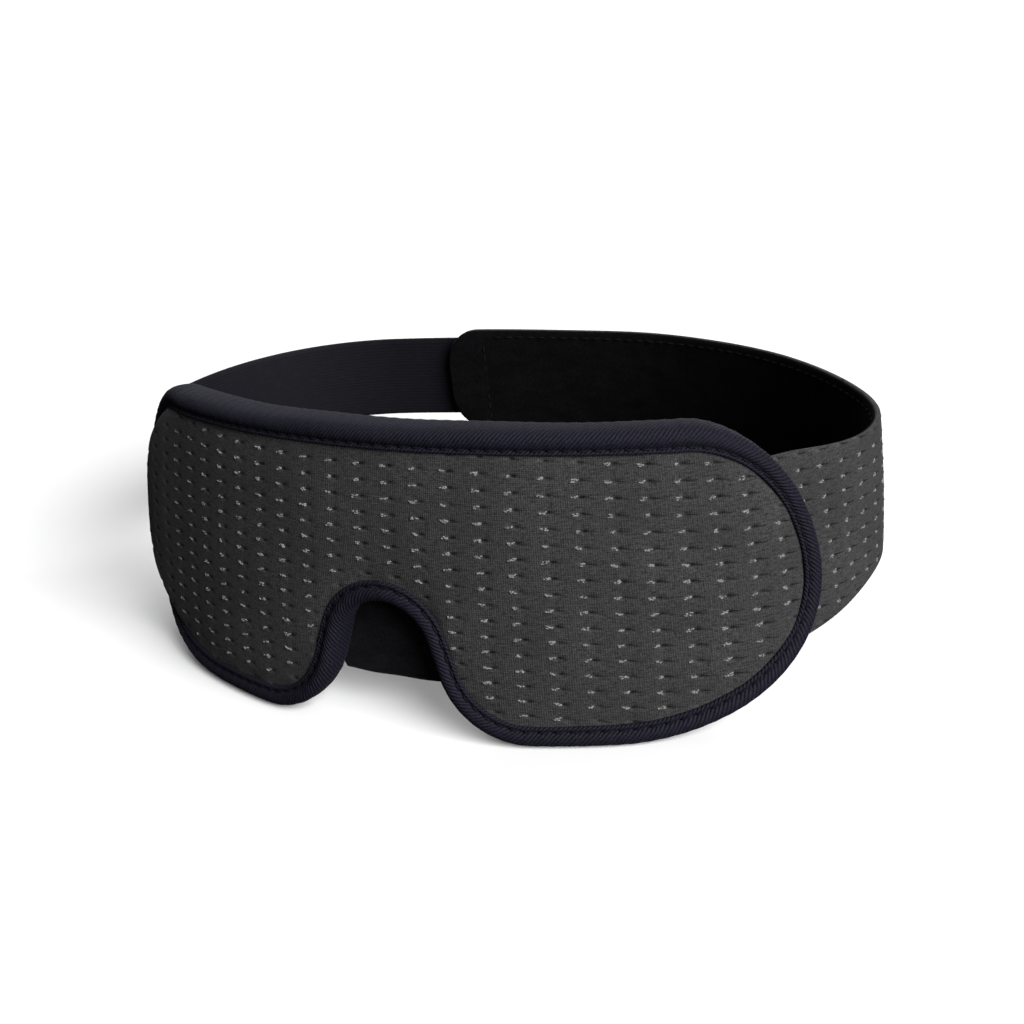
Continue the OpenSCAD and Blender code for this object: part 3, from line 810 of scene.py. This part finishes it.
# ---- Eye pads ----
def build_eye_pads():
    for side, name in ((-1, "left"), (1, "right")):
        a = np.linspace(0, 2*np.pi, 72, endpoint=False)
        section = [(0.3, 0), (0.5, 3.4), (1.4, 6.2), (3.0, 8.0), (5.0, 8.5), (7.0, 8.0), (8.6, 6.2), (9.5, 3.4),
                   (9.7, 0)]
        rings = np.empty((72, len(section), 3))
        for k, (q, h) in enumerate(section):
            rings[:, k] = place(
                side*PAD_S + (PAD_A - q)*np.cos(a), PAD_V + (PAD_B - q)*np.sin(a), STACK_T + 0.3 + h)
        pad = swept(f"{name}_eye_cushion", rings, lining_cloth, closed=True)
        remesh = pad.modifiers.new("Remesh", "REMESH")
        remesh.mode = "VOXEL"
        remesh.voxel_size = 2.2*MM
        apply_modifiers(pad)
        if not pad.data.materials:
            pad.data.materials.append(lining_cloth)
        inward = -outward(side*PAD_S, PAD_V, 0)
        height = (point_array(pad.data) - place(side*PAD_S, PAD_V, STACK_T)) @ inward
        start, move = swell(pad, PAD_PRESSURE, height < 3.2*MM)
        pad.data.vertices.foreach_set("co", (start + move).ravel())
        pad.data.update()
        sub = pad.modifiers.new("Subdivision", "SUBSURF")
        sub.levels = sub.render_levels = 1
        apply_modifiers(pad)
        pad.data.shade_smooth()
        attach(pad, "mask")
        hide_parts(f"{name}_eye_pad", f"{name}_eye_pad_cover")

        spans = []
        count = 44
        for i in range(count):
            t = 2*np.pi*(np.array([0.15, 0.8]) + i)/count
            p = place(side*PAD_S + (PAD_A + 0.9)*np.cos(t), PAD_V + (PAD_B + 0.9)*np.sin(t), STACK_T + 0.55)
            spans.append((*p, inward))
        seam = threads(f"{name}_eye_cushion_stitches", spans, 0.3*MM, thread)
        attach(seam, "mask")


# ---- Nose flap ----
def build_nose_flap():
    d0 = BACK_D + 0.55
    half_top, half_low, corner_v = 13.0, 21.0, 18.0
    rows, cols = 46, 40
    v = np.linspace(FLAP_LOW_V + 0.3, FLAP_HINGE_V + 2.5, rows)
    t = np.linspace(-1, 1, cols)
    widen = ease((FLAP_HINGE_V - v)/(FLAP_HINGE_V - corner_v))
    half = half_top + (half_low - half_top)*widen
    corner = np.clip((corner_v - v)/(corner_v - FLAP_LOW_V), 0, 1)
    half = half - 2.6*(1 - np.sqrt(1 - 0.96*corner**2))
    s = half[:, None]*t[None, :]
    vv = np.repeat(v[:, None], cols, 1)
    hem = 0.28*bell((vv - FLAP_LOW_V - 1.4)/1.5) + 0.2*bell((np.abs(t)[None, :] - 0.95)/0.06)
    wave = 0.22*smooth_noise(s, vv, 22, 31)
    outer = place(s, vv, d0 + wave - hem*0.5)
    inner = place(s, vv, d0 + 1.1 + wave + hem*0.5)
    uv = np.stack([s, vv], -1)
    flap = slab(
        "nose_flap_cloth", np.swapaxes(outer, 0, 1), np.swapaxes(inner, 0, 1), lining_cloth,
        np.swapaxes(uv, 0, 1), np.swapaxes(uv, 0, 1))
    place(0, FLAP_HINGE_V + 1.5, d0).tolist()
    place(0, FLAP_HINGE_V - 5, d0).tolist()
    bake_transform(flap)
    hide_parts("nose_flap")

    v = np.linspace(FLAP_HINGE_V + 1.3, FLAP_HINGE_V + 6.2, 12)
    s = np.linspace(-half_top - 0.8, half_top + 0.8, 36)
    ss, vv = np.meshgrid(s, v, indexing="ij")
    edge = bell((vv - v[0])/0.5) + bell((vv - v[-1])/0.5)
    uv = np.stack([ss, vv], -1)
    tape = slab(
        "nose_flap_seam_tape", place(ss, vv, STACK_T + 0.2),
        place(ss, vv, d0 + 1.9 - 0.5*edge + 0.1*smooth_noise(ss, vv, 7, 33)), twill, uv, uv)
    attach(tape, "mask")
    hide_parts("nose_flap_seam")
    spans = []
    for row in (FLAP_HINGE_V + 2.5, FLAP_HINGE_V + 5.0):
        for u in np.arange(-half_top + 0.5, half_top - 2, 3.1):
            p = place(np.array([u, u + 2.2]), row, d0 + 1.95)
            spans.append((*p, -outward(u, row, 0)))
    stitches = threads("nose_flap_stitches", spans, 0.28*MM, thread)
    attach(stitches, "mask")
    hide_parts("nose_flap_stitching")


# ---- Wide strap ----
def wide_half(s):
    root = 1 - ease((s - HINGE_S + 12)/55)
    end = ease((s - HINGE_S)/(WIDE_END - HINGE_S))
    w = WIDE_SIDE_W + (WIDE_ROOT_W - WIDE_SIDE_W)*root - (WIDE_SIDE_W - WIDE_END_W)*end
    over = np.clip(s - (WIDE_END - WIDE_CORNER), 0, WIDE_CORNER - 0.02)
    return w/2 - WIDE_CORNER + np.sqrt(WIDE_CORNER**2 - over**2)


def right_hinge_blend(obj):
    place(HINGE_S - 5, STRAP_V, ANCHOR_D + 1).tolist()
    place(HINGE_S + 14, STRAP_V, ANCHOR_D + 1).tolist()
    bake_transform(obj)


def wide_wave(s, v):
    """Gentle waviness of the wide strap, none at its root and free end."""
    return 0.25*smooth_noise(s, v, 40, 41)*ease((s - HINGE_S)/20)*ease((WIDE_END - s)/20)


def wide_face_depth(s, v):
    """Depth of the wide strap's crowned knit face, with its tufts' relief, from the strap's outer surface."""
    h = wide_half(s) - 0.35
    t = (v - STRAP_V)/h
    return tuft_relief(s, v)*ease((h - np.abs(t*h))/2.5) - 0.35*(1 - (t*t)**3) + 0.12


def build_wide_strap():
    rim = 0.25
    step = 0.8
    plain = np.arange(ANCHOR_S, WIDE_END - WIDE_CORNER, step)
    corner = WIDE_END - WIDE_CORNER + WIDE_CORNER*sind(np.linspace(0, 89.5, 22))
    s = np.concatenate([plain, corner])
    half = wide_half(s)
    # Ring across the strap: outer face, rounded edge, rim on the inner side, and the hidden inside
    t = np.linspace(-1, 1, 60)
    edge = np.array([  # [inset, depth] round the edge and onto the inner side
        (0.0, 0.25), (-0.25, 0.7), (-0.3, 1.1), (-0.25, 1.45),
        (-0.05, 1.7), (0.3, 1.75), (0.9, 1.75), (1.7, 1.75)])
    rings, uv = [], []
    for i, si in enumerate(s):
        h = half[i] - 0.35
        v_face = STRAP_V + t*h
        d_face = wide_face_depth(si, v_face)
        cv = np.concatenate([v_face, STRAP_V + h - edge[:, 0], STRAP_V - h + edge[::-1, 0]])
        cd = np.concatenate([d_face, edge[:, 1], edge[::-1, 1]])
        rings.append(place(si, cv, strap_depth(si, WIDE_FREE_D) + cd + wide_wave(si, cv)))
        uv.append(np.stack([np.full(cv.shape, si), cv], -1))
    face = swept("wide_strap_face", np.array(rings), knit, np.array(uv))
    right_hinge_blend(face)
    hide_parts("right_strap_face", "right_strap_foam", "right_strap_anchor")

    def inside(s0, v0):
        return HINGE_S + 4 < s0 < WIDE_END - 6 and abs(v0 - STRAP_V) < wide_half(np.array([s0]))[0] - 2.0

    def surface(ss, vv):
        return place(ss, vv, strap_depth(ss, WIDE_FREE_D) + wide_face_depth(ss, vv) + wide_wave(ss, vv))
    tufts = tuft_slubs("wide_strap_tufts", inside, surface, (HINGE_S, WIDE_END), (STRAP_V - 28, STRAP_V + 72))
    right_hinge_blend(tufts)

    inset = WIDE_CORNER - rim
    plain = np.arange(ANCHOR_S + 1.0, WIDE_END - rim - inset, 1.6)
    corner = WIDE_END - rim - inset + inset*sind(np.linspace(0, 89, 16))
    s = np.concatenate([plain, corner])
    over = np.clip(s - (WIDE_END - rim - inset), 0, inset - 0.02)
    full = wide_half(np.minimum(s, WIDE_END - WIDE_CORNER - 0.01))
    half = full - rim - inset + np.sqrt(inset**2 - over**2)
    t = np.linspace(-1, 1, 40)
    ss, tt = s[:, None] + 0*t, t[None, :] + 0*s[:, None]
    vv = STRAP_V + tt*half[:, None]
    hem = 0.35*bell((ss - (WIDE_END - 14))/0.9)
    depth = strap_depth(ss, WIDE_FREE_D) + wide_wave(ss, vv)
    inner = place(ss, vv, depth + 2.55 - 0.5*(tt**2)**6 - hem + 0.12*smooth_noise(ss, vv, 12, 43))
    outer = place(ss, vv, depth + 1.7)
    uv = np.stack([ss, vv], -1)
    lining = slab("wide_strap_lining", outer, inner, loop_cloth, uv, uv)
    right_hinge_blend(lining)
    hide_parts("right_strap_loop_lining")

    spans = []
    for side in (-1, 1):
        for u in np.arange(HINGE_S + 4, WIDE_END - 18, 4.2):
            pair = np.array([u, u + 2.8])
            p = place(pair, STRAP_V + side*(wide_half(pair) - 2.5), strap_depth(pair, WIDE_FREE_D) + 2.5)
            spans.append((*p, -outward(u, STRAP_V, 0)))
    for v in np.arange(-15, 13.5, 3.6):
        p = place(WIDE_END - 14, STRAP_V + np.array([v, v + 2.5]), WIDE_FREE_D + 2.25)
        spans.append((*p, -outward(WIDE_END - 14, STRAP_V, 0)))
    stitches = threads("wide_strap_stitches", spans, 0.24*MM, thread)
    right_hinge_blend(stitches)
    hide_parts("right_strap_stitching")


# ---- Elastic strap, hook patch and pull tab ----
def elastic_rings(s, half):
    """Flat band with rounded edges and fine lengthwise ribs."""
    t = np.linspace(-1, 1, 110)
    rings, uv = [], []
    for si, h in zip(s, half):
        h = h - 0.15
        v_in = t*h
        rib = 0.05*np.sin(2*np.pi*v_in/1.15)*ease((h - np.abs(v_in))/1.0)
        lip = 0.3*(t**2)**14
        v = STRAP_V + np.concatenate([v_in, [h + 0.12, h + 0.12], v_in[::-1], [-h - 0.12, -h - 0.12]])
        d = np.concatenate([lip + rib, [0.45, 1.15], (ELASTIC_T - lip - rib)[::-1], [1.15, 0.45]])
        free = ease((WHOLE_LOOP - HINGE_S - si)/25)*ease((si - TAB_HINGE - 65)/20)
        wave = 0.2*smooth_noise(si, v, 55, 51)*free
        rings.append(place(si, v, strap_depth(si, ELASTIC_FREE_D) + d + wave))
        uv.append(np.stack([np.full(v.shape, si), v + d], -1))
    return np.array(rings), np.array(uv)


def build_elastic():
    joint_s = TAB_HINGE + 7
    root = WHOLE_LOOP - ANCHOR_S
    s = np.arange(joint_s, root, 1.6)
    rings, uv = elastic_rings(s, np.full(s.shape, ELASTIC_W/2))
    band = swept("elastic_band", rings, elastic, uv)
    place(-HINGE_S + 5, STRAP_V, ANCHOR_D).tolist()
    place(-HINGE_S - 14, STRAP_V, ANCHOR_D).tolist()
    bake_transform(band)
    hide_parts("elastic_strap", "left_strap_anchor")

    h = ELASTIC_W/2
    curve = TAB_END + h - h*cosd(np.linspace(6, 90, 26))
    s = np.concatenate([curve, np.arange(TAB_END + h + 1.2, joint_s, 1.2), [joint_s - 0.02]])
    over = np.clip(TAB_END + h - s, 0, h - 0.05)
    rings, uv = elastic_rings(s, np.sqrt(h*h - over*over))
    tab = swept("elastic_tab", rings, elastic, uv)
    place(TAB_HINGE + 5, STRAP_V, ELASTIC_FREE_D).tolist()
    place(TAB_HINGE - 5, STRAP_V, ELASTIC_FREE_D).tolist()
    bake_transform(tab)
    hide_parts("pull_tab")

    # Hook patch: woven ground and rows of small hooks facing the wide strap
    s0, s1, half = TAB_HINGE + 3, WIDE_END - 4, h - 1.5
    d0 = ELASTIC_FREE_D + ELASTIC_T
    ss, vv = np.meshgrid(np.linspace(s0, s1, 50), STRAP_V + np.linspace(-half, half, 28), indexing="ij")
    uv = np.stack([ss, vv], -1)
    ground = slab("hook_patch_ground", place(ss, vv, d0 + 0.05),
                  place(ss, vv, d0 + 0.45 + 0.05*smooth_noise(ss, vv, 5, 61)), hooks, uv, uv)
    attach(ground, "left_strap")
    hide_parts("hook_patch")
    points, faces, n = [], [], 0
    ring = np.array([[-0.16, -0.12], [0.16, -0.12], [0.16, 0.12], [-0.16, 0.12]])
    crook = [(0.4, 0, 1.2), (0.75, 0, 0.8), (1.0, 0.5, 0.8), (0.92, 1.0, 0.6)]  # rise, reach and thickness
    for i, u in enumerate(np.arange(s0 + 2.2, s1 - 2.2, 1.5)):
        for v in np.arange(-half + 2.2, half - 2.2, 1.4):
            shift = 0.7*(i % 2)
            lean = 0.25 if i % 2 else -0.25
            for k, (rise, off, size) in enumerate(crook):
                q = ring*size
                points.append(place(u + lean*off*2 + q[:, 0], STRAP_V + v + shift + q[:, 1], d0 + rise))
                if k:
                    faces += grid_faces(2, 4, wrap_cols=True, start=n*4 - 4)
                n += 1
            faces.append([n*4 - 4, n*4 - 3, n*4 - 2, n*4 - 1])
            faces.append([n*4 - 13, n*4 - 14, n*4 - 15, n*4 - 16])
    crooks = new_mesh("hook_patch_hooks", np.concatenate(points), faces, hooks, smooth=False)
    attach(crooks, "left_strap")

    spans = []
    inner = half - 1.5
    for side in (-1, 1):
        for u in np.arange(s0 + 1.5, s1 - 3.5, 3.4):
            p = place(np.array([u, u + 2.4]), STRAP_V + side*inner, ELASTIC_FREE_D - 0.02)
            spans.append((*p, outward(u, STRAP_V, 0)))
    for u in (s0 + 1.5, s1 - 1.5):
        for v in np.arange(-inner, inner - 2, 3.4):
            p = place(u, STRAP_V + np.array([v, v + 2.4]), ELASTIC_FREE_D - 0.02)
            spans.append((*p, outward(u, STRAP_V, 0)))
    stitches = threads("hook_patch_stitches", spans, 0.24*MM, thread)
    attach(stitches, "left_strap")
    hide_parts("hook_patch_stitching")


# ---- Stitches that hold the straps' roots ----
def build_anchor_stitches():
    roots = ((-1, "left", ELASTIC_W/2 - 2.5, ELASTIC_T, 7), (1, "right", WIDE_ROOT_W/2 - 3, WIDE_T, 12))
    for side, name, half, depth, steps in roots:
        spans = []
        d = ANCHOR_D + depth
        for u in (ANCHOR_S + 2, ANCHOR_S + 12):
            for v in np.arange(-half, half - 2, 3.2):
                p = place(side*u, STRAP_V + np.array([v, v + 2.3]), d)
                spans.append((*p, -outward(side*u, STRAP_V, 0)))
        for sign in (-1, 1):
            for i in range(steps):
                t = (np.array([0.1, 0.75]) + i)/steps
                p = place(side*(ANCHOR_S + 2 + 10*t), STRAP_V + sign*half*(2*t - 1), d)
                spans.append((*p, -outward(side*ANCHOR_S, STRAP_V, 0)))
        stitches = threads(f"{name}_anchor_stitches", spans, 0.28*MM, thread)
        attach(stitches, "mask")
        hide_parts(f"{name}_anchor_stitching")


PUFF = panel_puff()
build_panel()
build_binding()
build_eye_pads()
build_nose_flap()
build_wide_strap()
build_elastic()
build_anchor_stitches()


# ---- Floor, lights and camera ----
FLOOR_REACH, FLOOR_Z = 4.0, -0.0003


def build_studio():
    corners = [(x*FLOOR_REACH, y*FLOOR_REACH, FLOOR_Z) for x, y in ((-1, -1), (1, -1), (1, 1), (-1, 1))]
    floor = new_mesh("floor", corners, [[0, 1, 2, 3]], floor_material(), smooth=False)
    floor.visible_diffuse = floor.visible_glossy = False
    world = bpy.data.worlds.new("studio")
    world.use_nodes = True
    background = world.node_tree.nodes["Background"]
    background.inputs[0].default_value = (0.97, 0.98, 1.0, 1)
    background.inputs[1].default_value = 0.95
    # The white backdrop and floor are seen, but don't light the mask: the lamps alone shape it
    world.cycles_visibility.diffuse = world.cycles_visibility.glossy = False
    bpy.context.scene.world = world
    bpy.context.scene.view_settings.view_transform = "Standard"
    lamps = (  # name, position, strength and apparent width in degrees
        ("key", (2.0, -0.88, 1.2), 7.2, 42),
        ("fill", (-0.1, -1.2, 0.9), 0.45, 120),
        ("back", (-0.4, 1.8, 1.3), 1.6, 90))
    for name, spot, power, width in lamps:
        light = bpy.data.lights.new(name, "SUN")
        light.angle = math.radians(width)
        light.energy = power
        lamp = bpy.data.objects.new(name, light)
        bpy.context.scene.collection.objects.link(lamp)
        lamp.location = spot
        lamp.rotation_euler = (-Vector(spot)).to_track_quat("-Z", "Y").to_euler()


AZIMUTH, ELEVATION, DISTANCE, ROLL = 28.63, 23.26, 0.50397, -6.32
LENS = 59.37
AIM = Vector((0.02272, -0.0236, 0.04028))


def build_camera():
    az, el, roll = (math.radians(k) for k in (AZIMUTH, ELEVATION, ROLL))
    back = Vector((math.sin(az)*math.cos(el), -math.cos(az)*math.cos(el), math.sin(el)))
    right = Vector((math.cos(az), math.sin(az), 0))
    up = back.cross(right)
    right, up = right*math.cos(roll) + up*math.sin(roll), up*math.cos(roll) - right*math.sin(roll)
    data = bpy.data.cameras.new("camera")
    data.lens = LENS
    data.sensor_width = 36
    data.clip_start = 0.01
    camera = bpy.data.objects.new("camera", data)
    bpy.context.scene.collection.objects.link(camera)
    turn = Matrix((right, up, back)).transposed().to_4x4()
    camera.matrix_world = Matrix.Translation(AIM + back*DISTANCE) @ turn
    bpy.context.scene.camera = camera


build_studio()
build_camera()
